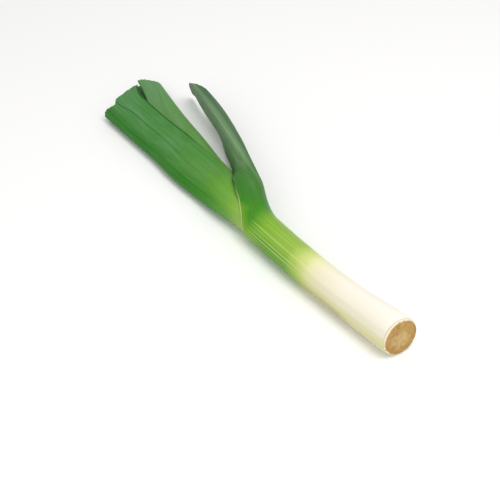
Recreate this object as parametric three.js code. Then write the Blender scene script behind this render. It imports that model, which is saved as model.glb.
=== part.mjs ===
// A leek lying on its side: a cut root plate, a shank of nested leaf sheaths and four folded blades.
// Millimetres. +X runs from the root end to the leaf tips, +Y to the leek's left and +Z up.
// Stations are measured in millimetres from the root end; the origin is under the shank at ORIGIN_STATION.
// Each leaf is one body: a tube (its sheath) that opens at a mouth and goes over into a blade folded
// along its keel. A point of a leaf is found from its station and from `across`, which is 0 on the keel
// and -1 and 1 on the two margins. Angles in a cross-section are 0 to the left, 90 up and 180 to the right.
import * as THREE from 'three';

const ORIGIN_STATION = 100;
const SHEATH_WALL = 1.3;
const BLADE_WALL = 1.1;
const LEAF_GAP = 0.3;
const FLAT_DEPTH = 0.4;
const LEAST_FLOOR_WALL = 0.7;
const SHANK_BOW = 3.4;
const BOW_END = 200;
const KEEL_RIB = 0.4;
const KEEL_RIB_REACH = 0.08;
const TO_RADIANS = Math.PI / 180;

// Stations between which the wall thins from sheath to blade, and between which the collar swells.
const WALL_THINS = [190, 260];
const COLLAR_SWELLS = [178, 208];

// A crease along a blade: a low fold on one half, this far across it at these stations.
const CREASE_PLACE = [[400, 0.65], [436, 0.54]];
const CREASE_REACH = 0.17;

// Waves of a blade's margins: length along the leaf for one radian, and how far they lag across it.
const WAVE_LENGTH = 13;
const WAVE_LAG = 2;

// Outer radius of the shank along its length: a swollen root end, a slimmer middle and a wider collar.
const SHANK_RADIUS = [[0, 17.5], [10, 18.2], [25, 17.8], [45, 16.8], [80, 15.9], [130, 15.7], [190, 16],
  [460, 16.6]];

// The root end was cut askew: its face leans back by this slope towards the upper left.
const CUT_SLOPE = Math.tan(9 * TO_RADIANS);
const CUT_LEAN = { left: 0.56, up: 0.83 };
const SHEATH_START = 3.2;
const INNER_START = 6.4;

const PLATE_RADIUS = 16.5;
const PLATE_SHOULDER_RADIUS = 17.3;
const PLATE_SHOULDER_STATION = 2.8;
const PLATE_BOSS_RADIUS = 15.9;
const PLATE_BOSS_END = 6;
const PLATE_DOME = 1.4;
const ROOT_STUB_HEIGHT = 0.9;
const ROOT_STUB_CIRCLES = 4;
const STUBS_PER_CIRCLE = 4;
const STUB_TURN = 1.7;
const PLATE_RINGS = 12;
const PLATE_SECTORS = 48;

const HEART_CLEARANCE = 7;
const HEART_NECK = 196;
const HEART_NECK_LOSS = 1.6;
const HEART_TIP = 230;
const HEART_NARROWS = [180, 205];
const HEART_SECTORS = 16;
const HEART_STATIONS = [12, 25, 45, 80, 130, 170, 184, HEART_NECK, 205, 214, 221, 226, 229];

// Where the leaves have their cross-sections, and the steps between those of the part that unrolls.
const SHEATH_STATIONS = [14, 28, 50, 80, 130, 172];
const MOUTH_APPROACH = 8;
const UNROLL_STEP = { first: 2.5, growth: 0.7, last: 8.5 };
const UNROLL_END = 300;
const BLADE_STATIONS = [320, 350];
const TAIL_ROWS = 3;

// Outermost leaf: its sheath is the skin of the shank; its blade turns keel up and goes to the right.
const RIGHT_LEAF = {
  name: 'leaf_1',
  colour: [0.52, 0.66, 0.33],
  roughness: 0.5,
  nest: 0,
  start: SHEATH_START,
  mouth: 188,
  mouthSwell: 1,
  unroll: [206, 258],
  leave: [172, 225],
  keelAngle: [[200, 155], [230, 140], [244, 127], [252, 117], [262, 105], [282, 87], [300, 80], [330, 72],
    [400, 66]],
  keelLeft: [[172, -18], [190, -23], [210, -29], [230, -35], [255, -42.5], [280, -50.5], [310, -59.5],
    [340, -68], [370, -75.5], [400, -82]],
  keelUp: [[172, 21], [190, 24], [210, 28], [230, 33], [255, 35.5], [280, 36], [340, 35.5], [400, 33]],
  reachPlus: [[188, 180], [196, 143], [204, 111], [214, 88], [235, 60], [255, 48], [440, 50]],
  reachMinus: [[188, 180], [196, 132], [204, 103], [214, 82], [225, 69], [237, 52], [255, 43], [440, 50]],
  halfWidth: [[240, 22], [262, 22], [300, 28], [340, 30], [400, 27]],
  keelRound: [[230, 5], [270, 4.5], [330, 5.6], [400, 3.5]],
  roundLength: 1,
  halfSpread: [[230, 34], [243, 32], [252, 21], [262, 14], [282, 12], [300, 10], [330, 7], [400, 5]],
  wave: 0.8,
  crease: 0,
  end: (across) => 385 - 20 * Math.tanh(2.2 * across) - 6 * ease(0.3, 0.8, across),
  columns: 12,
};

// Second leaf: its blade lies on its side, keel to the left, and is the broad leaf underneath.
const LEFT_LEAF = {
  name: 'leaf_2',
  colour: [0.07, 0.25, 0.06],
  roughness: 0.45,
  nest: 1,
  start: INNER_START,
  mouth: 196,
  mouthSwell: 0.15,
  unroll: [210, 300],
  leave: [205, 290],
  keelAngle: [[200, -25], [235, -10], [260, -6], [440, -6]],
  keelLeft: [[205, 17.8], [225, 15.4], [245, 13], [265, 11.9], [290, 12], [315, 11], [340, 8.6], [390, 7],
    [440, 5.5]],
  keelUp: [[205, 9], [225, 7.6], [250, 7.2], [290, 6.95], [440, 6.95]],
  reachPlus: [[196, 180], [208, 148], [222, 122], [240, 118], [270, 118], [440, 90]],
  reachMinus: [[196, 180], [208, 148], [222, 115], [240, 92], [270, 85], [440, 80]],
  halfWidth: [[240, 43], [300, 42], [360, 39.5], [405, 39.5], [425, 41.5], [440, 49.5]],
  keelRound: [[200, 6.3], [440, 6.3]],
  roundLength: 1.2,
  halfSpread: [[200, 6], [440, 6]],
  wave: 0.5,
  crease: 1,
  end: (across) => 429.5 + 6 * ease(0.51, 0.59, across) + 1.2 * Math.sin(9 * across),
  columns: 12,
};

// Third leaf: inside the fold of the second one, keel to the right.
const INNER_LEAF = {
  name: 'leaf_3',
  colour: [0.17, 0.36, 0.1],
  roughness: 0.45,
  nest: 2,
  start: INNER_START,
  mouth: 203,
  mouthSwell: -0.4,
  unroll: [210, 300],
  leave: [208, 290],
  keelAngle: [[203, 155], [235, 174], [260, 180], [300, 180.5], [350, 182], [440, 185]],
  keelLeft: [[208, -17], [235, -26.5], [260, -35.8], [290, -39.4], [330, -47.8], [380, -57.3], [440, -71.7]],
  keelUp: [[208, 17], [235, 12], [260, 9], [290, 7.2], [330, 6.8], [350, 6.6], [440, 5.05]],
  reachPlus: [[203, 180], [215, 145], [230, 108], [250, 88], [280, 80], [440, 80]],
  reachMinus: [[203, 180], [215, 145], [230, 108], [250, 88], [280, 80], [440, 80]],
  halfWidth: [[200, 39], [380, 37], [420, 27.5], [446, 23], [456, 19.3]],
  keelRound: [[200, 3.9], [300, 3.9], [440, 4.4]],
  roundLength: 1.2,
  halfSpread: [[200, 1.5], [300, 1.5], [440, 2]],
  wave: 0,
  crease: 0,
  end: (across) => 442 + 13 * ease(0.2, 0.9, -across) + 16 * ease(0.2, 0.9, across),
  columns: 10,
};

// Fourth leaf: inside the fold of the third one, keel to the left, nearly shut.
const CORE_LEAF = {
  name: 'leaf_4',
  colour: [0.3, 0.45, 0.12],
  roughness: 0.5,
  nest: 3,
  start: INNER_START,
  mouth: 208,
  mouthSwell: -1.5,
  unroll: [210, 300],
  leave: [210, 290],
  keelAngle: [[208, -25], [226, -3], [245, 0], [440, 0]],
  keelLeft: [[208, 6], [250, 6], [290, 4], [340, -1], [400, -8], [440, -14]],
  keelUp: [[208, 12], [235, 10], [260, 8], [290, 7], [440, 7]],
  reachPlus: [[208, 180], [218, 135], [230, 104], [250, 88], [285, 85], [440, 80]],
  reachMinus: [[208, 180], [218, 135], [230, 104], [250, 88], [285, 85], [440, 80]],
  halfWidth: [[200, 31], [440, 30]],
  keelRound: [[200, 1], [440, 1]],
  roundLength: 1.2,
  halfSpread: [[200, 0.3], [440, 0.2]],
  wave: 0,
  crease: 0,
  end: (across) => 422 + 3 * across,
  columns: 7,
};

// 0 below `from`, 1 above `to`, smooth in between.
function ease(from, to, x) {
  const t = Math.min(Math.max((x - from) / (to - from), 0), 1);
  return t * t * (3 - 2 * t);
}

// Smooth curve through the [station, value] pairs, level outside them.
function along(pairs, station) {
  const last = pairs.length - 1;
  const x = Math.min(Math.max(station, pairs[0][0]), pairs[last][0]);
  let k = 0;
  while (k < last - 1 && pairs[k + 1][0] <= x) {
    k += 1;
  }
  const slope = (i) => {
    const low = Math.max(i - 1, 0);
    const high = Math.min(i + 1, last);
    return (pairs[high][1] - pairs[low][1]) / (pairs[high][0] - pairs[low][0]);
  };
  const span = pairs[k + 1][0] - pairs[k][0];
  const t = (x - pairs[k][0]) / span;
  const rise = pairs[k + 1][1] - pairs[k][1];
  const bend = t * (1 - t) * span;
  return pairs[k][1] + rise * ease(0, 1, t) + bend * ((1 - t) * slope(k) - t * slope(k + 1));
}

const shankRadius = (station) => along(SHANK_RADIUS, station);
const axisUp = (station) => shankRadius(station) - FLAT_DEPTH;
const axisLeft = (station) => -SHANK_BOW * ((Math.min(station, BOW_END) - 100) / 100) ** 2;
const wallAt = (station) => SHEATH_WALL + (BLADE_WALL - SHEATH_WALL) * ease(...WALL_THINS, station);

// How far the askew cut moves a point of the root end that lies this far left of and above the axis.
const cutLean = (left, up) => CUT_SLOPE * (CUT_LEAN.left * left + CUT_LEAN.up * up);

// Middle of the leaf's wall at a station, as [left, up].
function leafMiddle(leaf, station, across) {
  const f = Math.abs(across);
  const side = across < 0 ? -1 : 1;
  const angle = along(leaf.keelAngle, station) * TO_RADIANS;
  const cos = Math.cos(angle);
  const sin = Math.sin(angle);
  const keel = [along(leaf.keelLeft, station), along(leaf.keelUp, station)];

  // Sheath: part of a circle round the axis, drawn out towards the keel where the blade leaves the shank.
  const radius = shankRadius(station) - SHEATH_WALL / 2 - leaf.nest * (SHEATH_WALL + LEAF_GAP)
    + leaf.mouthSwell * ease(...COLLAR_SWELLS, station);
  const reach = along(side < 0 ? leaf.reachMinus : leaf.reachPlus, station);
  const turn = (station <= leaf.mouth ? 180 : reach) * TO_RADIANS * f;
  const ringKeel = [axisLeft(station) + radius * cos, axisUp(station) + radius * sin];
  const pull = ((1 + Math.cos(turn)) / 2) ** 3 * ease(...leaf.leave, station);
  const ringIn = radius * (1 - Math.cos(turn));
  const ringSide = side * radius * Math.sin(turn);
  const ring = [
    ringKeel[0] - cos * ringIn - sin * ringSide + (keel[0] - ringKeel[0]) * pull,
    ringKeel[1] - sin * ringIn + cos * ringSide + (keel[1] - ringKeel[1]) * pull,
  ];

  // Blade: two nearly straight halves that spread from a rounded keel.
  const length = along(leaf.halfWidth, station) * (1 - Math.cos(Math.PI * f / 2));
  const round = along(leaf.keelRound, station);
  const rounded = Math.min(length / (round * leaf.roundLength), 1);
  const spread = along(leaf.halfSpread, station) * TO_RADIANS;
  const bladeIn = length * Math.cos(spread);
  const bladeSide = side * (round * Math.sqrt(1 - (1 - rounded) ** 2) + length * Math.sin(spread));
  const blade = [keel[0] - cos * bladeIn - sin * bladeSide, keel[1] - sin * bladeIn + cos * bladeSide];

  const share = ease(...leaf.unroll, station);
  return [ring[0] + (blade[0] - ring[0]) * share, ring[1] + (blade[1] - ring[1]) * share];
}

// Point on the outer (face = 1) or inner (face = -1) face of a leaf.
function leafPoint(leaf, station, across, face) {
  const step = 0.001;
  const middle = leafMiddle(leaf, station, across);
  const after = leafMiddle(leaf, station, Math.min(across + step, 1));
  const before = leafMiddle(leaf, station, Math.max(across - step, -1));
  const run = [after[0] - before[0], after[1] - before[1]];
  const size = Math.hypot(run[0], run[1]);
  const share = ease(...leaf.unroll, station);
  const keelRib = face > 0 ? KEEL_RIB * share * (1 - ease(0, KEEL_RIB_REACH, Math.abs(across))) : 0;
  const creasePlace = along(CREASE_PLACE, station);
  const fold = leaf.crease * share * Math.max(0, 1 - Math.abs(across - creasePlace) / CREASE_REACH);
  const phase = station / WAVE_LENGTH + WAVE_LAG * across;
  const wave = leaf.wave * share * Math.abs(across) ** 3 * Math.sin(phase);
  const out = face * wallAt(station) / 2 + keelRib + fold + wave;
  const up = middle[1] - out * run[0] / size;
  const floor = face > 0 ? 0 : LEAST_FLOOR_WALL;
  return [station - ORIGIN_STATION, middle[0] + out * run[1] / size, Math.max(up, floor)];
}

// Stations of a leaf's cross-sections: close together at the bulb and where the leaf unrolls.
function leafStations(leaf) {
  const stations = SHEATH_STATIONS.concat([leaf.mouth - MOUTH_APPROACH, leaf.mouth]);
  let step = UNROLL_STEP.first;
  for (let station = leaf.mouth + step; station < UNROLL_END; station += step) {
    stations.push(station);
    step = Math.min(step + UNROLL_STEP.growth, UNROLL_STEP.last);
  }
  return stations.concat(BLADE_STATIONS);
}

// One leaf as a closed body: outer face, inner face, both ends and both margins.
function leafMesh(leaf) {
  const columns = leaf.columns;
  const width = 2 * columns + 1;
  const middle = leafStations(leaf);
  const rows = middle.length + 1 + TAIL_ROWS;
  const mouthRow = 1 + middle.indexOf(leaf.mouth);
  const startRadius = shankRadius(leaf.start) - leaf.nest * (SHEATH_WALL + LEAF_GAP);
  const stationAt = (row, across) => {
    if (row === 0) {
      const angle = (along(leaf.keelAngle, 0) + 180 * across) * TO_RADIANS;
      return leaf.start + cutLean(startRadius * Math.cos(angle), startRadius * Math.sin(angle));
    }
    if (row <= middle.length) {
      return middle[row - 1];
    }
    const last = middle[middle.length - 1];
    return last + (leaf.end(across) - last) * (row - middle.length) / TAIL_ROWS;
  };

  const points = [];
  const index = [[], []];
  [1, -1].forEach((face, layer) => {
    for (let row = 0; row < rows; row += 1) {
      const line = [];
      for (let column = 0; column < width; column += 1) {
        if (row <= mouthRow && column === width - 1) {
          line.push(line[0]);
        } else {
          const across = column / columns - 1;
          line.push(points.length);
          points.push(leafPoint(leaf, stationAt(row, across), across, face));
        }
      }
      index[layer].push(line);
    }
  });

  const faces = [];
  const quad = (a, b, c, d) => faces.push([a, b, c], [a, c, d]);
  const [outer, inner] = index;
  for (let row = 0; row < rows - 1; row += 1) {
    for (let column = 0; column < width - 1; column += 1) {
      quad(outer[row][column], outer[row][column + 1], outer[row + 1][column + 1], outer[row + 1][column]);
      quad(inner[row][column], inner[row + 1][column], inner[row + 1][column + 1], inner[row][column + 1]);
    }
    if (row >= mouthRow) {
      const far = width - 1;
      quad(outer[row][far], inner[row][far], inner[row + 1][far], outer[row + 1][far]);
      quad(outer[row][0], outer[row + 1][0], inner[row + 1][0], inner[row][0]);
    }
  }
  const end = rows - 1;
  for (let column = 0; column < width - 1; column += 1) {
    quad(outer[0][column], inner[0][column], inner[0][column + 1], outer[0][column + 1]);
    quad(outer[end][column], outer[end][column + 1], inner[end][column + 1], inner[end][column]);
  }
  return namedMesh(leaf.name, points, faces, leaf.colour, leaf.roughness);
}

// Closed body from rings of points round the shank's axis; the first and last rings are single points.
function ringsMesh(name, rings, sectors, colour, roughness) {
  const points = [];
  const index = rings.map((ring) => {
    const count = ring.single ? 1 : sectors;
    const line = [];
    for (let sector = 0; sector < count; sector += 1) {
      line.push(points.length);
      points.push(ring.point(sector * 2 * Math.PI / sectors));
    }
    return line;
  });
  const faces = [];
  for (let ring = 0; ring < rings.length - 1; ring += 1) {
    for (let sector = 0; sector < sectors; sector += 1) {
      const next = (sector + 1) % sectors;
      const near = index[ring];
      const far = index[ring + 1];
      if (far.length > 1) {
        faces.push([near[sector % near.length], far[next], far[sector]]);
      }
      if (near.length > 1) {
        faces.push([near[sector], near[next], far[next % far.length]]);
      }
    }
  }
  return namedMesh(name, points, faces, colour, roughness);
}

// Point of the root end at a distance and angle from the axis; `station` is before the askew cut's lean.
function rootPoint(station, radius, angle) {
  const left = radius * Math.cos(angle);
  const up = radius * Math.sin(angle);
  const centre = [axisLeft(0), axisUp(PLATE_SHOULDER_STATION)];
  return [station + cutLean(left, up) - ORIGIN_STATION, centre[0] + left, Math.max(centre[1] + up, 0)];
}

// Height of the cut root stubs over the plate's face: circles of small knobs, denser towards the rim.
function stubHeight(share, angle) {
  const circle = share * ROOT_STUB_CIRCLES;
  const number = Math.max(Math.round(circle), 1);
  const across = Math.max(Math.cos((circle - number) * Math.PI), 0);
  const round = Math.max(Math.cos(angle * STUBS_PER_CIRCLE * number + number * STUB_TURN), 0);
  return ROOT_STUB_HEIGHT * across * round * share;
}

// Cut root plate: a domed tan disc with root stubs, a shoulder behind the skin and a boss inside it.
function rootPlate() {
  const rings = [];
  for (let k = 0; k <= PLATE_RINGS; k += 1) {
    const share = k / PLATE_RINGS;
    rings.push({
      single: k === 0,
      point: (angle) => {
        const dome = PLATE_DOME * share ** 3;
        const stub = k < PLATE_RINGS ? stubHeight(share, angle) : 0;
        return rootPoint(dome - stub, PLATE_RADIUS * share, angle);
      },
    });
  }
  const ring = (station, radius) => ({ point: (angle) => rootPoint(station, radius, angle) });
  rings.push(ring(PLATE_SHOULDER_STATION, PLATE_SHOULDER_RADIUS));
  rings.push(ring(PLATE_SHOULDER_STATION, PLATE_BOSS_RADIUS));
  rings.push(ring(PLATE_BOSS_END, PLATE_BOSS_RADIUS));
  rings.push({ single: true, point: () => rootPoint(PLATE_BOSS_END, 0, 0) });
  return ringsMesh('root_plate', rings, PLATE_SECTORS, [0.6, 0.41, 0.18], 0.85);
}

// Heart: the youngest leaves, rolled into a rod that ends in a blunt tip inside the shank.
function heart() {
  const radiusAt = (station) => {
    const narrowing = HEART_NECK_LOSS * ease(...HEART_NARROWS, station);
    const body = shankRadius(station) - HEART_CLEARANCE - narrowing;
    const taper = Math.max(station - HEART_NECK, 0) / (HEART_TIP - HEART_NECK);
    return body * Math.sqrt(1 - taper ** 2);
  };
  const ringPoint = (station, radius, angle) => [
    station - ORIGIN_STATION,
    axisLeft(station) + radius * Math.cos(angle),
    axisUp(station) + radius * Math.sin(angle),
  ];
  const startRadius = radiusAt(INNER_START);
  const rings = [
    { single: true, point: () => rootPoint(INNER_START, 0, 0) },
    { point: (angle) => rootPoint(INNER_START, startRadius, angle) },
  ];
  HEART_STATIONS.forEach((station) => {
    rings.push({ point: (angle) => ringPoint(station, radiusAt(station), angle) });
  });
  rings.push({ single: true, point: () => ringPoint(HEART_TIP, 0, 0) });
  return ringsMesh('heart', rings, HEART_SECTORS, [0.75, 0.78, 0.4], 0.5);
}

function namedMesh(name, points, faces, colour, roughness) {
  const geometry = new THREE.BufferGeometry();
  geometry.setAttribute('position', new THREE.Float32BufferAttribute(points.flat(), 3));
  geometry.setIndex(faces.flat());
  geometry.computeVertexNormals();
  const material = new THREE.MeshStandardMaterial({ roughness, metalness: 0 });
  material.color.setRGB(...colour);
  const mesh = new THREE.Mesh(geometry, material);
  mesh.name = name;
  return mesh;
}

const leek = new THREE.Group();
leek.name = 'leek';
leek.add(rootPlate());
[RIGHT_LEAF, LEFT_LEAF, INNER_LEAF, CORE_LEAF].forEach((leaf) => leek.add(leafMesh(leaf)));
leek.add(heart());

export default leek;
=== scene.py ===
"""Looks of a leek that lies on a pale floor, with the photograph's camera and a soft studio light.

The leaves are rebuilt finely from the same cross-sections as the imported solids. Lengths of the leek are in
millimetres here, as in the part's source, and become metres when a mesh is made. A station is a distance
from the root end; `across` is 0 on a leaf's keel and -1 and 1 on its two margins.
"""

import math
from types import SimpleNamespace

import bpy
import numpy as np
from mathutils import Matrix, Vector


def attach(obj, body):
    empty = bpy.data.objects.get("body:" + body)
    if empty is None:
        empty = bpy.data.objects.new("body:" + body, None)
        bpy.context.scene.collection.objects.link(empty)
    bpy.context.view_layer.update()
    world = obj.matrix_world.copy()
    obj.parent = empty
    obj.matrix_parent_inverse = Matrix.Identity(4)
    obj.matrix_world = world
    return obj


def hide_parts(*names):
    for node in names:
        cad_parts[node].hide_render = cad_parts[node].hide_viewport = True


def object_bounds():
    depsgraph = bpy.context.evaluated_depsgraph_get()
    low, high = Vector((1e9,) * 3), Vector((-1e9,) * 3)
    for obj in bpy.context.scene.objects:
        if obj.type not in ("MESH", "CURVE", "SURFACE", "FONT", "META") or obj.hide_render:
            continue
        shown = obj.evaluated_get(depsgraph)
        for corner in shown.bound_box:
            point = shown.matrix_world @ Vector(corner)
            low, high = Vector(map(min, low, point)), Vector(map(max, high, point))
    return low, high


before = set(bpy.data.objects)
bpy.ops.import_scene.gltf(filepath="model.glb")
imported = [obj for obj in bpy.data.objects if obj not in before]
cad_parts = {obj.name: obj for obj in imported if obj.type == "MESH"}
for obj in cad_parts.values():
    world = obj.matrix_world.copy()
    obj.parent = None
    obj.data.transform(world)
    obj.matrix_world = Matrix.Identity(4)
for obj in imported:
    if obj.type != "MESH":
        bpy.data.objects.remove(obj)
cad_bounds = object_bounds()

MM = 0.001

# The photograph's camera, found by matching the outlines of the shank and the root plate.
CAMERA_PLACE = (-591.4, 554.3, 776.0)
CAMERA_ELEVATION = 42.0
CAMERA_HEADING = -38.78
CAMERA_LENS = 90.72
SENSOR_WIDTH = 36.0
NEAREST_SEEN = 0.01

# Soft boxes as (place, size, power, tint), the even sky and the floor, in metres and watts.
LIGHTS = {
    "key": ((-0.35, -0.05, 1.45), 0.9, 11.8, (1.0, 0.985, 0.96)),
    "fill": ((-0.6, 1.2, 0.75), 1.2, 3.4, (0.98, 0.99, 1.0)),
}
SKY_STRENGTH = 0.6
FLOOR_REACH = 4.0
FLOOR_DROP = 0.0005

# The leek as in the part's source, apart from two values that close small dark gaps in the render:
# SHEATH_START is 0.3 less here, and leaf_1's reach_minus up to 8 degrees more between stations 214 and 255.
ORIGIN_STATION = 100.0
LAST_STATION = 460.0
SHEATH_WALL = 1.3
BLADE_WALL = 1.1
LEAF_GAP = 0.3
FLAT_DEPTH = 0.4
LEAST_FLOOR_WALL = 0.7
SHANK_BOW = 3.4
BOW_END = 200.0
KEEL_RIB = 0.4
KEEL_RIB_REACH = 0.08
WALL_THINS = (190, 260)
COLLAR_SWELLS = (178, 208)
CREASE_PLACE = ((400, 0.65), (436, 0.54))
CREASE_REACH = 0.17
WAVE_LENGTH = 13.0
WAVE_LAG = 2.0
SHANK_RADIUS = ((0, 17.5), (10, 18.2), (25, 17.8), (45, 16.8), (80, 15.9), (130, 15.7), (190, 16),
                (460, 16.6))
CUT_SLOPE = math.tan(math.radians(9))
CUT_LEAN_LEFT = 0.56
CUT_LEAN_UP = 0.83
SHEATH_START = 2.9
INNER_START = 6.4

PLATE_RADIUS = 16.5
PLATE_SHOULDER_RADIUS = 17.3
PLATE_SHOULDER_STATION = 2.8
PLATE_BOSS_RADIUS = 15.9
PLATE_BOSS_END = 6.0
PLATE_DOME = 1.4
ROOT_STUB_HEIGHT = 0.9
ROOT_STUB_CIRCLES = 4
STUBS_PER_CIRCLE = 4
STUB_TURN = 1.7

# Finer rows and columns than the solids have, and relief that they don't have.
LEAF_COLUMNS = 64
ROOT_ROWS = 4
FIRST_ROW = 14.0
SHEATH_STEP = 3.0
HIDDEN_STEP = 12.0
BLADE_STEP = 2.0
TAIL_START = 350.0
TAIL_ROWS = 36
FOLD_HEIGHT = 0.12
FOLDS_PER_HALF = 7
FOLD_SLANT = 60.0
RAGGED_CUT = 0.35
MARGIN_THINNING = 0.45
MARGIN_FROM = 0.94
PLATE_RINGS = 48
PLATE_SECTORS = 192
PLATE_MIDDLE_RADIUS = 0.01
STUBS_END = 0.93
FIBRE_HEIGHT = 0.25
SMOOTH_ANGLE = math.radians(50)

# Share of the root plate's rings that its tan face takes; the rest is its rim.
RIM_SHARE = (PLATE_RINGS - 1) / (PLATE_RINGS + 4)

LEAVES = {
    "leaf_1": dict(
        nest=0, start=SHEATH_START, mouth=188, swell=1, unroll=(206, 258), leave=(172, 225),
        keel_angle=((200, 155), (230, 140), (244, 127), (252, 117), (262, 105), (282, 87), (300, 80),
                    (330, 72), (400, 66)),
        keel_left=((172, -18), (190, -23), (210, -29), (230, -35), (255, -42.5), (280, -50.5), (310, -59.5),
                   (340, -68), (370, -75.5), (400, -82)),
        keel_up=((172, 21), (190, 24), (210, 28), (230, 33), (255, 35.5), (280, 36), (340, 35.5),
                 (400, 33)),
        reach_plus=((188, 180), (196, 143), (204, 111), (214, 88), (235, 60), (255, 48), (440, 50)),
        reach_minus=((188, 180), (196, 132), (204, 103), (214, 83), (225, 74), (237, 60), (255, 44),
                     (440, 50)),
        half_width=((240, 22), (262, 22), (300, 28), (340, 30), (400, 27)),
        keel_round=((230, 5), (270, 4.5), (330, 5.6), (400, 3.5)),
        round_length=1,
        half_spread=((230, 34), (243, 32), (252, 21), (262, 14), (282, 12), (300, 10), (330, 7), (400, 5)),
        wave=0.8, crease=0,
        end=lambda across: 385 - 20 * np.tanh(2.2 * across) - 6 * ease(0.3, 0.8, across)),
    "leaf_2": dict(
        nest=1, start=INNER_START, mouth=196, swell=0.15, unroll=(210, 300), leave=(205, 290),
        keel_angle=((200, -25), (235, -10), (260, -6), (440, -6)),
        keel_left=((205, 17.8), (225, 15.4), (245, 13), (265, 11.9), (290, 12), (315, 11), (340, 8.6),
                   (390, 7), (440, 5.5)),
        keel_up=((205, 9), (225, 7.6), (250, 7.2), (290, 6.95), (440, 6.95)),
        reach_plus=((196, 180), (208, 148), (222, 122), (240, 118), (270, 118), (440, 90)),
        reach_minus=((196, 180), (208, 148), (222, 115), (240, 92), (270, 85), (440, 80)),
        half_width=((240, 43), (300, 42), (360, 39.5), (405, 39.5), (425, 41.5), (440, 49.5)),
        keel_round=((200, 6.3), (440, 6.3)),
        round_length=1.2,
        half_spread=((200, 6), (440, 6)),
        wave=0.5, crease=1,
        end=lambda across: 429.5 + 6 * ease(0.51, 0.59, across) + 1.2 * np.sin(9 * across)),
    "leaf_3": dict(
        nest=2, start=INNER_START, mouth=203, swell=-0.4, unroll=(210, 300), leave=(208, 290),
        keel_angle=((203, 155), (235, 174), (260, 180), (300, 180.5), (350, 182), (440, 185)),
        keel_left=((208, -17), (235, -26.5), (260, -35.8), (290, -39.4), (330, -47.8), (380, -57.3),
                   (440, -71.7)),
        keel_up=((208, 17), (235, 12), (260, 9), (290, 7.2), (330, 6.8), (350, 6.6), (440, 5.05)),
        reach_plus=((203, 180), (215, 145), (230, 108), (250, 88), (280, 80), (440, 80)),
        reach_minus=((203, 180), (215, 145), (230, 108), (250, 88), (280, 80), (440, 80)),
        half_width=((200, 39), (380, 37), (420, 27.5), (446, 23), (456, 19.3)),
        keel_round=((200, 3.9), (300, 3.9), (440, 4.4)),
        round_length=1.2,
        half_spread=((200, 1.5), (300, 1.5), (440, 2)),
        wave=0, crease=0,
        end=lambda across: 442 + 13 * ease(0.2, 0.9, -across) + 16 * ease(0.2, 0.9, across)),
    "leaf_4": dict(
        nest=3, start=INNER_START, mouth=208, swell=-1.5, unroll=(210, 300), leave=(210, 290),
        keel_angle=((208, -25), (226, -3), (245, 0), (440, 0)),
        keel_left=((208, 6), (250, 6), (290, 4), (340, -1), (400, -8), (440, -14)),
        keel_up=((208, 12), (235, 10), (260, 8), (290, 7), (440, 7)),
        reach_plus=((208, 180), (218, 135), (230, 104), (250, 88), (285, 85), (440, 80)),
        reach_minus=((208, 180), (218, 135), (230, 104), (250, 88), (285, 85), (440, 80)),
        half_width=((200, 31), (440, 30)),
        keel_round=((200, 1), (440, 1)),
        round_length=1.2,
        half_spread=((200, 0.3), (440, 0.2)),
        wave=0, crease=0,
        end=lambda across: 422 + 3 * across),
}


def ease(start, end, x):
    """0 below start, 1 above end, smooth in between."""
    t = np.clip((x - start) / (end - start), 0, 1)
    return t * t * (3 - 2 * t)


def along(pairs, station):
    """Smooth curve through the (station, value) pairs, level outside them."""
    x0 = np.array([p[0] for p in pairs], float)
    y0 = np.array([p[1] for p in pairs], float)
    low = np.maximum(np.arange(len(x0)) - 1, 0)
    high = np.minimum(np.arange(len(x0)) + 1, len(x0) - 1)
    slopes = (y0[high] - y0[low]) / (x0[high] - x0[low])
    x = np.clip(station, x0[0], x0[-1])
    k = np.clip(np.searchsorted(x0, x, side="right") - 1, 0, len(x0) - 2)
    span = x0[k + 1] - x0[k]
    t = (x - x0[k]) / span
    bend = t * (1 - t) * span
    rise = (y0[k + 1] - y0[k]) * ease(0, 1, t)
    return y0[k] + rise + bend * ((1 - t) * slopes[k] - t * slopes[k + 1])


def shank_radius(station):
    return along(SHANK_RADIUS, station)


def axis_up(station):
    return shank_radius(station) - FLAT_DEPTH


def axis_left(station):
    return -SHANK_BOW * ((np.minimum(station, BOW_END) - ORIGIN_STATION) / 100) ** 2


def cut_lean(left, up):
    """How far the askew cut moves a point of the root end that is this far left of and above the axis."""
    return CUT_SLOPE * (CUT_LEAN_LEFT * left + CUT_LEAN_UP * up)


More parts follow.
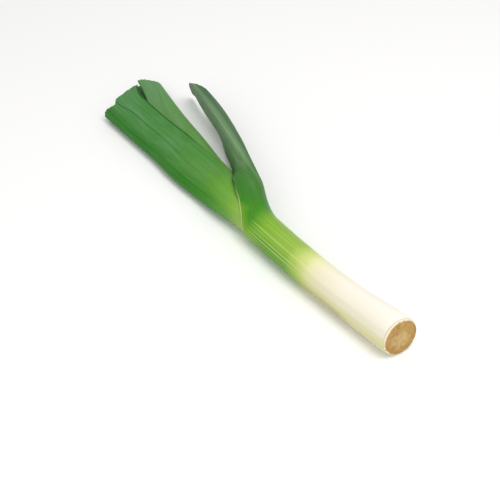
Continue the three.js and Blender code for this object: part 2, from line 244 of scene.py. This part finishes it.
def leaf_middle(leaf, station, across):
    """Middle of the leaf's wall, as (left, up)."""
    f = np.abs(across)
    side = np.where(across < 0, -1, 1)
    angle = np.radians(along(leaf["keel_angle"], station))
    cos = np.cos(angle)
    sin = np.sin(angle)
    keel_left = along(leaf["keel_left"], station)
    keel_up = along(leaf["keel_up"], station)

    # sheath: part of a circle round the axis, drawn out towards the keel where the blade leaves
    radius = shank_radius(station) - SHEATH_WALL / 2 - leaf["nest"] * (SHEATH_WALL + LEAF_GAP)
    radius = radius + leaf["swell"] * ease(*COLLAR_SWELLS, station)
    reach = np.where(side < 0, along(leaf["reach_minus"], station), along(leaf["reach_plus"], station))
    turn = np.radians(np.where(station <= leaf["mouth"], 180, reach)) * f
    ring_keel_left = axis_left(station) + radius * cos
    ring_keel_up = axis_up(station) + radius * sin
    pull = ((1 + np.cos(turn)) / 2) ** 3 * ease(*leaf["leave"], station)
    ring_in = radius * (1 - np.cos(turn))
    ring_side = side * radius * np.sin(turn)
    ring_left = ring_keel_left - cos * ring_in - sin * ring_side + (keel_left - ring_keel_left) * pull
    ring_up = ring_keel_up - sin * ring_in + cos * ring_side + (keel_up - ring_keel_up) * pull

    # blade: two nearly straight halves that spread from a rounded keel
    length = along(leaf["half_width"], station) * (1 - np.cos(np.pi * f / 2))
    keel_round = along(leaf["keel_round"], station)
    rounded = np.minimum(length / (keel_round * leaf["round_length"]), 1)
    spread = np.radians(along(leaf["half_spread"], station))
    blade_in = length * np.cos(spread)
    blade_side = side * (keel_round * np.sqrt(1 - (1 - rounded) ** 2) + length * np.sin(spread))
    blade_left = keel_left - cos * blade_in - sin * blade_side
    blade_up = keel_up - sin * blade_in + cos * blade_side

    share = ease(*leaf["unroll"], station)
    return ring_left + (blade_left - ring_left) * share, ring_up + (blade_up - ring_up) * share


def leaf_face(leaf, station, across, face):
    """Points on a leaf's outer (face = 1) or inner (face = -1) face, in millimetres of the part's frame."""
    step = 0.001
    left, up = leaf_middle(leaf, station, across)
    after = leaf_middle(leaf, station, np.minimum(across + step, 1))
    before = leaf_middle(leaf, station, np.maximum(across - step, -1))
    run_left = after[0] - before[0]
    run_up = after[1] - before[1]
    size = np.hypot(run_left, run_up)
    f = np.abs(across)
    share = ease(*leaf["unroll"], station)
    wall = SHEATH_WALL + (BLADE_WALL - SHEATH_WALL) * ease(*WALL_THINS, station)
    wall = wall * (1 - MARGIN_THINNING * ease(MARGIN_FROM, 1, f) * share)
    rib = KEEL_RIB * share * (1 - ease(0, KEEL_RIB_REACH, f)) if face > 0 else 0
    from_crease = np.abs(across - along(CREASE_PLACE, station))
    crease = leaf["crease"] * share * np.maximum(0, 1 - from_crease / CREASE_REACH)
    wave = leaf["wave"] * share * f ** 3 * np.sin(station / WAVE_LENGTH + WAVE_LAG * across)
    fold_turn = 2 * np.pi * FOLDS_PER_HALF * across + station / FOLD_SLANT
    folds = FOLD_HEIGHT * share * np.sin(fold_turn) * np.sin(np.pi * f)
    out = face * wall / 2 + rib + crease + wave + folds
    floor = 0 if face > 0 else LEAST_FLOOR_WALL
    return np.stack([
        station - ORIGIN_STATION,
        left + out * run_up / size,
        np.maximum(up - out * run_left / size, floor),
    ], axis=-1)


def leaf_stations(leaf, across):
    """Station of every point of a leaf's grid, and the row at which the sheath opens."""
    angle = np.radians(along(leaf["keel_angle"], 0) + 180 * across)
    radius = shank_radius(leaf["start"]) - leaf["nest"] * (SHEATH_WALL + LEAF_GAP)
    start = leaf["start"] + cut_lean(radius * np.cos(angle), radius * np.sin(angle))
    mouth = leaf["mouth"]
    step = SHEATH_STEP if leaf["nest"] == 0 else HIDDEN_STEP
    root_rows = [start + (FIRST_ROW - start) * k / ROOT_ROWS for k in range(ROOT_ROWS)]
    sheath = np.linspace(FIRST_ROW, mouth, round((mouth - FIRST_ROW) / step) + 1)
    blade = np.linspace(mouth, TAIL_START, round((TAIL_START - mouth) / BLADE_STEP) + 1)[1:]

    # two waves of different length make the cut ragged, each leaf in its own way
    phase = leaf["nest"] * 2.0
    ragged = RAGGED_CUT * (np.sin(47 * across + phase) + 0.6 * np.sin(113 * across + 2 * phase))
    end = leaf["end"](across) + ragged
    tail = [TAIL_START + (end - TAIL_START) * k / TAIL_ROWS for k in range(1, TAIL_ROWS + 1)]
    level = np.ones_like(across)
    rows = root_rows + [s * level for s in sheath] + [s * level for s in blade] + tail
    return np.array(rows), len(root_rows) + len(sheath) - 1


def leaf_mesh(name, leaf):
    """Closed mesh of a leaf. Its map `leaf` holds across and station; material 1 is on what was cut."""
    columns = 2 * LEAF_COLUMNS + 1
    across = np.linspace(-1, 1, columns)
    stations, mouth_row = leaf_stations(leaf, across)
    rows = len(stations)
    grid_across = np.broadcast_to(across, stations.shape)
    plain = np.arange(rows * columns).reshape(rows, columns)
    index = plain.copy()
    index[: mouth_row + 1, -1] = index[: mouth_row + 1, 0]
    points = [leaf_face(leaf, stations, grid_across, face).reshape(-1, 3) for face in (1, -1)]
    maps = np.stack([grid_across * 0.5 + 0.5, stations / LAST_STATION], axis=-1).reshape(-1, 2)
    inner = rows * columns

    quads = []
    corners = []
    cut = []

    def add(parts, is_cut):
        """Adds quads; each part is (index grid, map grid, offset), corner by corner."""
        quads.append(np.stack([p[0].ravel() + p[2] for p in parts], axis=-1))
        corners.append(np.stack([p[1].ravel() for p in parts], axis=-1))
        cut.append(np.full(parts[0][0].size, is_cut))

    def at(row, column, offset):
        return index[row, column], plain[row, column], offset

    # the two faces, the two margins above the mouth, the start at the root plate and the cut end
    low, high = slice(0, -1), slice(1, None)
    near, far = slice(mouth_row, rows - 1), slice(mouth_row + 1, rows)
    add([at(low, low, 0), at(low, high, 0), at(high, high, 0), at(high, low, 0)], 0)
    add([at(low, low, inner), at(high, low, inner), at(high, high, inner), at(low, high, inner)], 0)
    add([at(near, -1, 0), at(near, -1, inner), at(far, -1, inner), at(far, -1, 0)], 0)
    add([at(near, 0, 0), at(far, 0, 0), at(far, 0, inner), at(near, 0, inner)], 0)
    add([at(0, low, 0), at(0, low, inner), at(0, high, inner), at(0, high, 0)], 0)
    add([at(-1, low, 0), at(-1, high, 0), at(-1, high, inner), at(-1, low, inner)], 1)
    return add_piece(name, np.concatenate(points), np.concatenate(quads), maps[np.concatenate(corners)],
                     np.concatenate(cut))


def add_piece(name, points, quads, maps, material_index):
    """Object with a mesh in metres, without unused points; a quad with a doubled corner is a triangle."""
    used, quads = np.unique(quads, return_inverse=True)
    quads = quads.reshape(-1, 4)
    keep = quads != np.roll(quads, 1, axis=1)
    faces = [[corner for corner, kept in zip(quad, mask) if kept]
             for quad, mask in zip(quads.tolist(), keep.tolist())]
    mesh = bpy.data.meshes.new(name)
    mesh.from_pydata((points[used] * MM).tolist(), [], faces)
    layer = mesh.uv_layers.new(name="leaf")
    layer.data.foreach_set("uv", maps[keep].astype(np.float32).ravel())
    mesh.polygons.foreach_set("material_index", material_index.astype(np.int32))
    mesh.polygons.foreach_set("use_smooth", np.ones(len(faces), bool))
    mesh.set_sharp_from_angle(angle=SMOOTH_ANGLE)
    mesh.update()
    piece = bpy.data.objects.new(name, mesh)
    bpy.context.scene.collection.objects.link(piece)
    return piece


def root_point(station, radius, angle):
    """Points of the root end at a distance and angle from the axis; station is before the cut's lean."""
    left = radius * np.cos(angle)
    up = radius * np.sin(angle)
    place = station + cut_lean(left, up) - ORIGIN_STATION
    height = np.maximum(axis_up(PLATE_SHOULDER_STATION) + up, 0)
    return np.stack(np.broadcast_arrays(place, axis_left(0.0) + left, height), axis=-1)


def stub_height(share, angle):
    """Height of the cut root stubs over the plate's face, with the fine ends of their fibres."""
    circle = share * ROOT_STUB_CIRCLES
    number = np.maximum(np.round(circle), 1)
    across = np.maximum(np.cos((circle - number) * np.pi), 0)
    rounded = np.maximum(np.cos(angle * STUBS_PER_CIRCLE * number + number * STUB_TURN), 0)
    fibres = np.sin(37 * angle + 60 * share) * np.sin(90 * share + 5 * np.sin(3 * angle))
    return (ROOT_STUB_HEIGHT * across * rounded + FIBRE_HEIGHT * fibres) * share


def root_plate_mesh():
    """Closed mesh of the root plate. Its map `leaf` holds the turn round it and the share of its rings."""
    angle = np.linspace(0, 2 * np.pi, PLATE_SECTORS + 1)
    rings = []
    for share in np.arange(PLATE_RINGS + 1) / PLATE_RINGS:
        stub = stub_height(share, angle) * (1 - ease(STUBS_END, 1, share))
        rings.append(root_point(PLATE_DOME * share ** 3 - stub, PLATE_RADIUS * share, angle))
    for station, radius in (
        (PLATE_SHOULDER_STATION, PLATE_SHOULDER_RADIUS),
        (PLATE_SHOULDER_STATION, PLATE_BOSS_RADIUS),
        (PLATE_BOSS_END, PLATE_BOSS_RADIUS),
        (PLATE_BOSS_END, PLATE_MIDDLE_RADIUS),
    ):
        rings.append(root_point(station, radius, angle))
    points = np.array(rings)
    rows, columns = points.shape[:2]
    plain = np.arange(rows * columns).reshape(rows, columns)
    index = plain.copy()
    index[:, -1] = index[:, 0]
    index[0, :] = index[0, 0]
    index[-1, :] = index[-1, 0]
    low, high = slice(0, -1), slice(1, None)
    corner_grids = [(low, low), (low, high), (high, high), (high, low)]
    quads = np.stack([index[c].ravel() for c in corner_grids], axis=-1)
    corners = np.stack([plain[c].ravel() for c in corner_grids], axis=-1)
    share = np.broadcast_to(np.linspace(0, 1, rows)[:, None], (rows, columns))
    turn = np.broadcast_to(np.linspace(0, 1, columns), (rows, columns))
    maps = np.stack([turn, share], axis=-1).reshape(-1, 2)
    return add_piece("root_disc", points.reshape(-1, 3), quads, maps[corners], np.zeros(len(quads)))


def colour(red, green, blue):
    """Linear colour from 0 to 255 values as seen on a screen."""
    def linear(value):
        value = value / 255
        return value / 12.92 if value <= 0.04045 else ((value + 0.055) / 1.055) ** 2.4
    return (linear(red), linear(green), linear(blue), 1.0)


# Stations at which a change of the skin begins and ends.
LOW_EDGE_SHADE_STATIONS = (40, 64)
SHEATH_GREENS = (96, 132)
MOUTH_NEARS = (158, 192)
RIDGES_FADE = (172, 193)
RIM_SHOWS = (184, 198)
RIM_FADES = (204, 234)
LINES_DARKEN = (285, 345)
CREASE_DARKENS = (300, 380)

# How much earlier a blade begins at its keel, and the share of its half width beyond which colours lag.
BLADE_LEAD = 30.0
LAG_BEYOND = 0.52

# Patterns: how many lumps a noise has from keel to margin and along the leaf, and the counts of lines.
STREAKS = (17, 2)
BLOTCHES = (6, 17)
FIBRES = (62, 4)
THREADS = (170, 9)
COLLAR_RIDGES = 31
VEINS_PER_HALF = 26

# How far the patterns shift the colours along the leaf and the tints across it, as shares of its map.
FIBRE_SHIFT = 0.03
PATCH_SHIFT = 0.06
TINT_SHIFT = 0.08

# How much of the green sheath's tint is gone at the mouth.
TINT_LOSS = 0.65

WHITE = (1.0, 1.0, 1.0, 1.0)
# Olive of the painted shade and reflected green on the low edge of the white part.
LOW_EDGE_PAINTED_SHADE = colour(128, 142, 66)
# Dark green of the veins, and of the painted shade along the crease and the margins of the blades.
VEIN_AND_SHADOW_GREEN = colour(16, 74, 14)
DARK_FIBRE = colour(16, 66, 16)
PALE_FIBRE = colour(170, 200, 150)
RIDGE_LINE = colour(206, 222, 150)
RIDGE_GROOVE = colour(56, 120, 20)
RIM_SHADE = colour(206, 214, 150)

# Tints of the white part, as (across, red, green, blue): painted shade, yellowed by a painted green
# reflection, on the low side of the shank towards both margins.
WHITE_PAINTED_SHADE = (
    (-1.0, 0.68, 0.67, 0.34), (-0.88, 0.74, 0.74, 0.44), (-0.78, 0.82, 0.82, 0.62),
    (-0.7, 0.86, 0.85, 0.74), (-0.56, 0.93, 0.92, 0.88), (-0.36, 1, 1, 1), (0.5, 1, 1, 1),
    (0.85, 0.88, 0.88, 0.66))

# What leaf_skin takes for each leaf.
SKINS = {
    "leaf_1": dict(
        stops=((0, 248, 244, 234), (60, 246, 240, 225), (92, 240, 234, 208), (106, 232, 233, 176),
               (118, 204, 218, 124), (130, 156, 192, 72), (152, 144, 186, 66), (174, 132, 181, 42),
               (191, 60, 138, 18), (206, 58, 126, 32), (236, 66, 122, 50), (272, 114, 155, 102),
               (300, 126, 162, 118), (345, 120, 156, 114), (400, 108, 138, 104)),
        # painted shade with a painted green reflection on the low side of the green sheath, towards both
        # margins
        sheath_sides=((-1.0, 0.3, 0.56, 0.1), (-0.86, 0.4, 0.66, 0.15), (-0.76, 0.56, 0.78, 0.3),
                      (-0.56, 1, 1, 1), (0.5, 1, 1, 1), (0.8, 0.6, 0.78, 0.4)),
        # painted shade on the keel's crest and the half of the blade beyond it, against the lighter near
        # half; deeper green at the margin at across -1
        blade_sides=((-1.0, 0.3, 0.72, 0.22), (-0.8, 0.66, 0.9, 0.64), (-0.6, 0.94, 1, 0.96),
                     (-0.1, 1, 1, 1), (0.04, 0.36, 0.48, 0.4), (0.5, 0.38, 0.5, 0.4)),
        wax_shade=colour(140, 162, 130), wax=0.45, blade_from=(200, 262), ridges=0.55, lines=0.0, lag=56),
    "leaf_2": dict(
        stops=((180, 206, 222, 124), (200, 156, 188, 84), (220, 126, 174, 60), (242, 108, 168, 48),
               (275, 88, 150, 52), (330, 78, 140, 62), (400, 78, 142, 72), (434, 86, 142, 82)),
        sheath_sides=((-1.0, 1, 1, 1), (0.0, 0.8, 0.95, 0.7), (1.0, 1, 1, 1)),
        # deeper green about the keel, partly the leaf's own colour and partly painted shade on the keel
        # side, which faces down; painted shade near the plus margin, which lies on leaf_3
        blade_sides=((-1.0, 0.6, 0.85, 0.6), (-0.3, 0.32, 0.68, 0.18), (0.3, 0.32, 0.68, 0.2),
                     (0.5, 0.8, 0.9, 0.75), (0.68, 1, 1, 1), (0.95, 0.74, 0.9, 0.66)),
        wax_shade=colour(104, 156, 104), wax=0.4, blade_from=(205, 262), ridges=0.2, lines=0.65, lag=0),
    "leaf_3": dict(
        stops=((190, 206, 222, 124), (215, 160, 194, 80), (240, 134, 182, 70), (290, 114, 168, 74),
               (360, 104, 158, 78), (440, 104, 156, 96)),
        sheath_sides=((-1.0, 1, 1, 1), (1.0, 1, 1, 1)),
        # painted shade on the lower half of the blade, which lies under leaf_2 and shows through the slit
        blade_sides=((-1.0, 0.86, 0.92, 0.86), (-0.5, 1, 1, 1), (-0.15, 0.8, 0.9, 0.7),
                     (0.3, 0.4, 0.5, 0.3)),
        wax_shade=colour(120, 164, 118), wax=0.4, blade_from=(215, 275), ridges=0.15, lines=0.3, lag=0),
    "leaf_4": dict(
        stops=((190, 210, 222, 136), (240, 150, 188, 84), (320, 118, 168, 80), (430, 110, 160, 82)),
        sheath_sides=((-1.0, 1, 1, 1), (1.0, 1, 1, 1)),
        blade_sides=((-1.0, 1, 1, 1), (0.0, 0.8, 0.92, 0.8), (1.0, 1, 1, 1)),
        wax_shade=colour(130, 168, 120), wax=0.3, blade_from=(215, 275), ridges=0.15, lines=0.0, lag=0),
}


class Value:
    """Output of a node. Arithmetic on it adds maths nodes to its material."""

    def __init__(self, graph, socket):
        self.graph = graph
        self.socket = socket

    def __add__(self, other):
        return self.graph.maths("ADD", self, other)

    def __sub__(self, other):
        return self.graph.maths("SUBTRACT", self, other)

    def __rsub__(self, other):
        return self.graph.maths("SUBTRACT", other, self)

    def __mul__(self, other):
        return self.graph.maths("MULTIPLY", self, other)

    def __pow__(self, power):
        return self.graph.maths("POWER", self, power)

    def __abs__(self):
        return self.graph.maths("ABSOLUTE", self)


class Graph:
    """A material's nodes: each call adds a node and gives back its output."""

    def __init__(self, name):
        self.material = bpy.data.materials.new(name)
        self.material.use_nodes = True
        self.tree = self.material.node_tree
        self.tree.nodes.clear()

    def add(self, kind, inputs, output=0, **settings):
        """Adds a node; inputs holds a number, a colour or an output for each input that is set."""
        node = self.tree.nodes.new(kind)
        for key, value in settings.items():
            setattr(node, key, value)
        for key, value in inputs.items():
            if isinstance(value, Value):
                self.tree.links.new(value.socket, node.inputs[key])
            else:
                node.inputs[key].default_value = value
        return Value(self, node.outputs[output])

    def maths(self, operation, a, b=0.0):
        return self.add("ShaderNodeMath", {0: a, 1: b}, operation=operation)

    def wave(self, angle):
        """Sine wave between 0 and 1."""
        return self.maths("SINE", angle) * 0.5 + 0.5

    def range(self, value, low, high, to_low=0.0, to_high=1.0):
        """Smooth step from to_low to to_high while the value goes from low to high."""
        return self.add("ShaderNodeMapRange", {0: value, 1: low, 2: high, 3: to_low, 4: to_high},
                        interpolation_type="SMOOTHSTEP")

    def stations(self, station, low, high, to_low=0.0, to_high=1.0):
        """Smooth step between two stations, for a station as the map `leaf` holds it."""
        return self.range(station, low / LAST_STATION, high / LAST_STATION, to_low, to_high)

    def mix(self, factor, a, b, blend="MIX"):
        return self.add("ShaderNodeMix", {0: factor, 6: a, 7: b}, output=2, data_type="RGBA",
                        blend_type=blend)

    def leaf_map(self):
        """The two numbers of the map `leaf`."""
        first = self.add("ShaderNodeSeparateXYZ", {0: self.add("ShaderNodeUVMap", {}, uv_map="leaf")})
        return first, Value(self, first.socket.node.outputs[1])

    def noise(self, x, y, scale_x, scale_y, detail=2.0):
        """Noise over a stretched map, from 0 to 1."""
        place = self.add("ShaderNodeCombineXYZ", {0: x * scale_x, 1: y * scale_y})
        return self.add("ShaderNodeTexNoise", {"Vector": place, "Scale": 1.0, "Detail": detail},
                        noise_dimensions="2D")

    def spots(self, scale, detail=3.0):
        """Noise in space, in lumps of about 1 / scale metres."""
        place = self.add("ShaderNodeTexCoord", {}, output="Object")
        return self.add("ShaderNodeTexNoise", {"Vector": place, "Scale": scale, "Detail": detail})

    def ramp(self, value, stops):
        """Colours at (place, colour) stops, with even blends between them."""
        result = self.add("ShaderNodeValToRGB", {0: value})
        elements = result.socket.node.color_ramp.elements
        while len(elements) < len(stops):
            elements.new(0.5)
        for element, (place, shade) in zip(elements, stops):
            element.position = place
            element.color = shade
        return result

    def bump(self, height, strength, distance):
        return self.add("ShaderNodeBump", {"Strength": strength, "Distance": distance, "Height": height})

    def finish(self, base, roughness, normal, specular=0.5):
        """The material, with a principled shader."""
        shader = self.add("ShaderNodeBsdfPrincipled", {
            "Base Color": base, "Roughness": roughness, "Normal": normal, "Specular IOR Level": specular})
        surface = self.tree.nodes.new("ShaderNodeOutputMaterial")
        self.tree.links.new(shader.socket, surface.inputs["Surface"])
        return self.material


def leaf_patterns(graph, blade_from):
    """Where a point lies on its leaf, and the patterns there."""
    across, station = graph.leaf_map()
    side = across - 0.5
    from_keel = abs(side) * 2.0
    green = graph.stations(station, *SHEATH_GREENS)

    # the blade begins earlier at the keel than at the margins
    lead = (0.5 - from_keel) * (BLADE_LEAD / LAST_STATION)
    blade = graph.stations(station + lead, *blade_from)

    # distance from the keel: by angle on the sheath, by width on the blade
    width = 1.0 - graph.maths("COSINE", from_keel * (math.pi / 2))
    run = (from_keel + (width - from_keel) * blade) * graph.maths("SIGN", side)
    streaks = graph.noise(run, station, *STREAKS)

    # fine veins of the blade
    vein = graph.wave(run * (2 * math.pi * VEINS_PER_HALF) + streaks * 5.0) ** 3.0 * blade

    # ridges of the collar, clearest beside the keel, in some places more than in others
    ridge = graph.wave(across * (2 * math.pi * COLLAR_RIDGES) + streaks * 7.0)
    collar = green * graph.stations(station, *RIDGES_FADE, 1.0, 0.0)
    beside = graph.range(from_keel, 0.32, 0.55, 0.12, 1.0) * graph.range(from_keel, 0.78, 0.9, 1.0, 0.25)
    ridged = beside * collar * graph.range(streaks, 0.36, 0.6, 0.15, 1.0)
    return SimpleNamespace(
        across=across, station=station, from_keel=from_keel, run=run, green=green, blade=blade,
        mouth=graph.stations(station, *MOUTH_NEARS), streaks=streaks, vein=vein, ridge=ridge, ridged=ridged,
        fibres=graph.noise(run, station, *FIBRES), threads=graph.noise(run, station, *THREADS))


def leaf_colour(graph, at, stops, lag):
    """Colours along the leaf, with an uneven border between white and green."""
    uneven = (at.fibres - 0.5) * FIBRE_SHIFT + (graph.spots(26) - 0.5) * PATCH_SHIFT
    late = graph.maths("MINIMUM", LAG_BEYOND - at.from_keel, 0.0) * (at.mouth * (lag / LAST_STATION))
    shades = [(station / LAST_STATION, colour(*shade)) for station, *shade in stops]
    return graph.ramp(at.station + late + uneven, shades)


def leaf_bloom(graph, at, wax):
    """Amount of wax on the blade, in long blotches that the fibres break."""
    cloud = graph.noise(at.run, at.station, *BLOTCHES, detail=5.0) + (at.fibres - 0.5) * 0.35
    return graph.range(cloud, 0.42, 0.68) * (at.blade * wax)


def leaf_tint(graph, at, sheath_sides, blade_sides):
    """Tints across the white part, the green sheath and the blade, which carry painted shade and a painted
    green reflection besides the leaves' own colour.
    """
    uneven = at.across + (at.streaks - 0.5) * TINT_SHIFT
    white, green, blade = [
        graph.ramp(uneven, [(place * 0.5 + 0.5, (*tint, 1.0)) for place, *tint in tints])
        for tints in (WHITE_PAINTED_SHADE, sheath_sides, blade_sides)]
    green = graph.mix(at.mouth * TINT_LOSS, green, WHITE)
    return graph.mix(at.blade, graph.mix(at.green, white, green), blade)


def painted_shadow_lines(graph, at, lines):
    """Thin lines of painted shade along the crease and just inside the margins of the blade."""
    (start, start_place), (end, end_place) = CREASE_PLACE
    from_crease = abs(at.from_keel - graph.stations(at.station, start, end, start_place, end_place))
    crease = graph.range(from_crease, 0.004, 0.022, 1.0, 0.0)
    crease = crease * graph.stations(at.station, *CREASE_DARKENS, 0.35, 0.8)
    margin = graph.range(at.from_keel, 0.962, 0.98)
    return graph.maths("MAXIMUM", crease, margin) * graph.stations(at.station, *LINES_DARKEN, 0.0, lines)


def leaf_skin(name, stops, sheath_sides, blade_sides, wax_shade, wax, blade_from, ridges, lines, lag):
    """Skin of a leaf: colours along it, tinted across it, with veins, fibres and a bloom of wax.

    stops are (station, red, green, blue) with colours up to 255; sheath_sides and blade_sides are (across,
    red, green, blue) tints up to 1, which paint shade and a green reflection across the leaf besides its own
    colour; wax is how much bloom the blade has; blade_from is where the blade begins; ridges is how much the
    ridges of the collar show, and lines how dark the painted shade along the crease and the margins of the
    blade is; lag is how fast the colours fall behind towards the margins, in millimetres from keel to
    margin.
    """
    graph = Graph(name)
    at = leaf_patterns(graph, blade_from)
    bloom = leaf_bloom(graph, at, wax)
    base = graph.mix(bloom, leaf_colour(graph, at, stops, lag), wax_shade)
    base = graph.mix(1.0, base, leaf_tint(graph, at, sheath_sides, blade_sides), "MULTIPLY")

    # veins that come and go, and faint darker and paler fibres all along the green part
    base = graph.mix(at.vein * graph.range(at.streaks, 0.3, 0.7, 0.08, 0.32), base, VEIN_AND_SHADOW_GREEN)
    base = graph.mix(graph.range(at.fibres, 0.3, 0.6, 0.2, 0.0) * at.green, base, DARK_FIBRE)
    base = graph.mix(graph.range(at.threads, 0.5, 0.8, 0.0, 0.14) * at.green, base, PALE_FIBRE)

    # painted shade, olive with a painted green reflection, on the low edge of the white part where the
    # margins meet, from the middle of the shank on
    low_edge_shade = graph.range(at.from_keel, 0.8, 0.96, 0.0, 0.4) * graph.stations(at.station, *LOW_EDGE_SHADE_STATIONS)
    base = graph.mix(low_edge_shade * (1.0 - at.green), base, LOW_EDGE_PAINTED_SHADE)
    # painted shade along the crease and just inside the margins of the blade
    base = graph.mix(painted_shadow_lines(graph, at, lines), base, VEIN_AND_SHADOW_GREEN)

    # pale ridges of the collar and the grooves between them
    base = graph.mix(at.ridge ** 5.0 * (at.ridged * ridges), base, RIDGE_LINE)
    base = graph.mix(graph.range(at.ridge, 0.0, 0.5, 0.35, 0.0) * at.ridged, base, RIDGE_GROOVE)

    # the thin pale rim where the sheath opens
    opened = graph.stations(at.station, *RIM_SHOWS) * graph.stations(at.station, *RIM_FADES, 0.65, 0.0)
    base = graph.mix(graph.range(at.from_keel, 0.952, 0.98) * opened, base, RIM_SHADE)

    waxy = at.fibres + at.blade * 0.4 + bloom * 0.4
    roughness = graph.range(waxy, 0.3, 1.3, 0.34, 0.62)
    height = at.ridge * at.ridged + at.fibres * 0.6 - at.vein * 0.5 + at.threads * 0.35
    height = height * graph.range(at.green, 0.0, 1.0, 0.25, 1.0) + graph.spots(110) * 0.4
    return graph.finish(base, roughness, graph.bump(height, 0.55, 0.0004), specular=0.22)


def cut_edge():
    """Pale wet edge where a leaf was cut."""
    graph = Graph("cut_edge")
    patches = graph.spots(600)
    base = graph.mix(graph.range(patches, 0.3, 0.7), colour(176, 205, 138), colour(120, 168, 96))
    roughness = graph.range(patches, 0.2, 0.8, 0.25, 0.45)
    return graph.finish(base, roughness, graph.bump(patches, 0.6, 0.0002))


def root_fibre():
    """Dry tan face of the root plate, paler in the middle, with pits and the white rim round it."""
    graph = Graph("root_fibre")
    coarse = graph.spots(240, 4.0)
    fine = graph.spots(1100, 4.0)
    share = graph.leaf_map()[1]
    base = graph.ramp(coarse, [
        (0.3, colour(174, 134, 78)),
        (0.45, colour(197, 162, 102)),
        (0.6, colour(206, 174, 116)),
        (0.8, colour(220, 194, 142)),
    ])
    base = graph.mix(graph.range(fine, 0.55, 0.8, 0.0, 0.3), base, colour(140, 104, 64))
    base = graph.mix(graph.range(share, 0.25, 0.8, 0.0, 0.5), base, colour(176, 134, 70))
    base = graph.mix(graph.range(share, 0.1, 0.55, 0.45, 0.0), base, colour(214, 184, 132))
    uneven = share + (coarse - 0.5) * 0.12
    base = graph.mix(graph.range(uneven, RIM_SHARE - 0.01, RIM_SHARE + 0.02), base, colour(238, 226, 200))
    roughness = graph.range(fine, 0.2, 0.8, 0.75, 0.95)
    return graph.finish(base, roughness, graph.bump(coarse + fine * 0.5, 0.6, 0.0005), specular=0.15)


def heart_flesh():
    """Pale yellow flesh of the youngest leaves, which the sheaths hide."""
    graph = Graph("heart_flesh")
    patches = graph.spots(90)
    base = graph.mix(patches, colour(240, 238, 190), colour(214, 220, 140))
    roughness = graph.range(patches, 0.2, 0.8, 0.35, 0.5)
    return graph.finish(base, roughness, graph.bump(patches, 0.3, 0.0003))


def paper_floor():
    """Nearly white matt paper."""
    graph = Graph("paper_floor")
    grain = graph.spots(400)
    base = graph.mix(grain, (0.96, 0.96, 0.96, 1.0), (0.98, 0.98, 0.98, 1.0))
    roughness = graph.range(grain, 0.0, 1.0, 0.8, 0.9)
    return graph.finish(base, roughness, graph.bump(grain, 0.05, 0.0002), specular=0.1)


def add_camera():
    """The photograph's camera: no roll, no shift, no depth of field."""
    data = bpy.data.cameras.new("camera")
    data.lens = CAMERA_LENS
    data.sensor_width = SENSOR_WIDTH
    data.clip_start = NEAREST_SEEN
    camera = bpy.data.objects.new("camera", data)
    elevation = math.radians(CAMERA_ELEVATION)
    heading = math.radians(CAMERA_HEADING)
    level = Vector((math.cos(heading), math.sin(heading), 0))
    forward = level * math.cos(elevation) - Vector((0, 0, math.sin(elevation)))
    right = Vector((math.sin(heading), -math.cos(heading), 0))
    upward = right.cross(forward)
    turn = Matrix((right, upward, -forward)).transposed().to_4x4()
    camera.matrix_world = Matrix.Translation(Vector(CAMERA_PLACE) * MM) @ turn
    bpy.context.scene.collection.objects.link(camera)
    bpy.context.scene.camera = camera


def add_light(name, target, place, size, power, tint):
    """Square soft box at a place, in metres, turned to a target."""
    data = bpy.data.lights.new(name, "AREA")
    data.size = size
    data.energy = power
    data.color = tint
    light = bpy.data.objects.new(name, data)
    light.location = place
    light.rotation_euler = (Vector(target) - Vector(place)).to_track_quat("-Z", "Y").to_euler()
    bpy.context.scene.collection.objects.link(light)


def add_studio():
    """Plain pale floor, a soft key from the right and above, a fill from the left and an even sky."""
    mesh = bpy.data.meshes.new("floor")
    corners = [(-1, -1), (1, -1), (1, 1), (-1, 1)]
    mesh.from_pydata([(x * FLOOR_REACH, y * FLOOR_REACH, 0) for x, y in corners], [], [(0, 1, 2, 3)])
    floor = bpy.data.objects.new("floor", mesh)
    floor.data.materials.append(paper_floor())
    floor.location = (0, 0, -FLOOR_DROP)
    bpy.context.scene.collection.objects.link(floor)

    low, high = cad_bounds
    middle = (Vector(low) + Vector(high)) / 2
    for name, settings in LIGHTS.items():
        add_light(name, middle, *settings)
    world = bpy.data.worlds.new("sky")
    world.use_nodes = True
    sky = world.node_tree.nodes["Background"].inputs
    sky["Color"].default_value = WHITE
    sky["Strength"].default_value = SKY_STRENGTH
    bpy.context.scene.world = world
    bpy.context.scene.view_settings.view_transform = "Standard"


def add_leek():
    """The fine leaves and root plate in place of the solids, and a material on the hidden heart."""
    edge = cut_edge()
    for node, leaf in LEAVES.items():
        piece = leaf_mesh(node + "_fine", leaf)
        piece.data.materials.append(leaf_skin(node + "_skin", **SKINS[node]))
        piece.data.materials.append(edge)
        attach(piece, "root")
        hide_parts(node)
    plate = root_plate_mesh()
    plate.data.materials.append(root_fibre())
    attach(plate, "root")
    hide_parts("root_plate")
    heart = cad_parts["heart"]
    heart.data.materials.clear()
    heart.data.materials.append(heart_flesh())


add_camera()
add_studio()
add_leek()
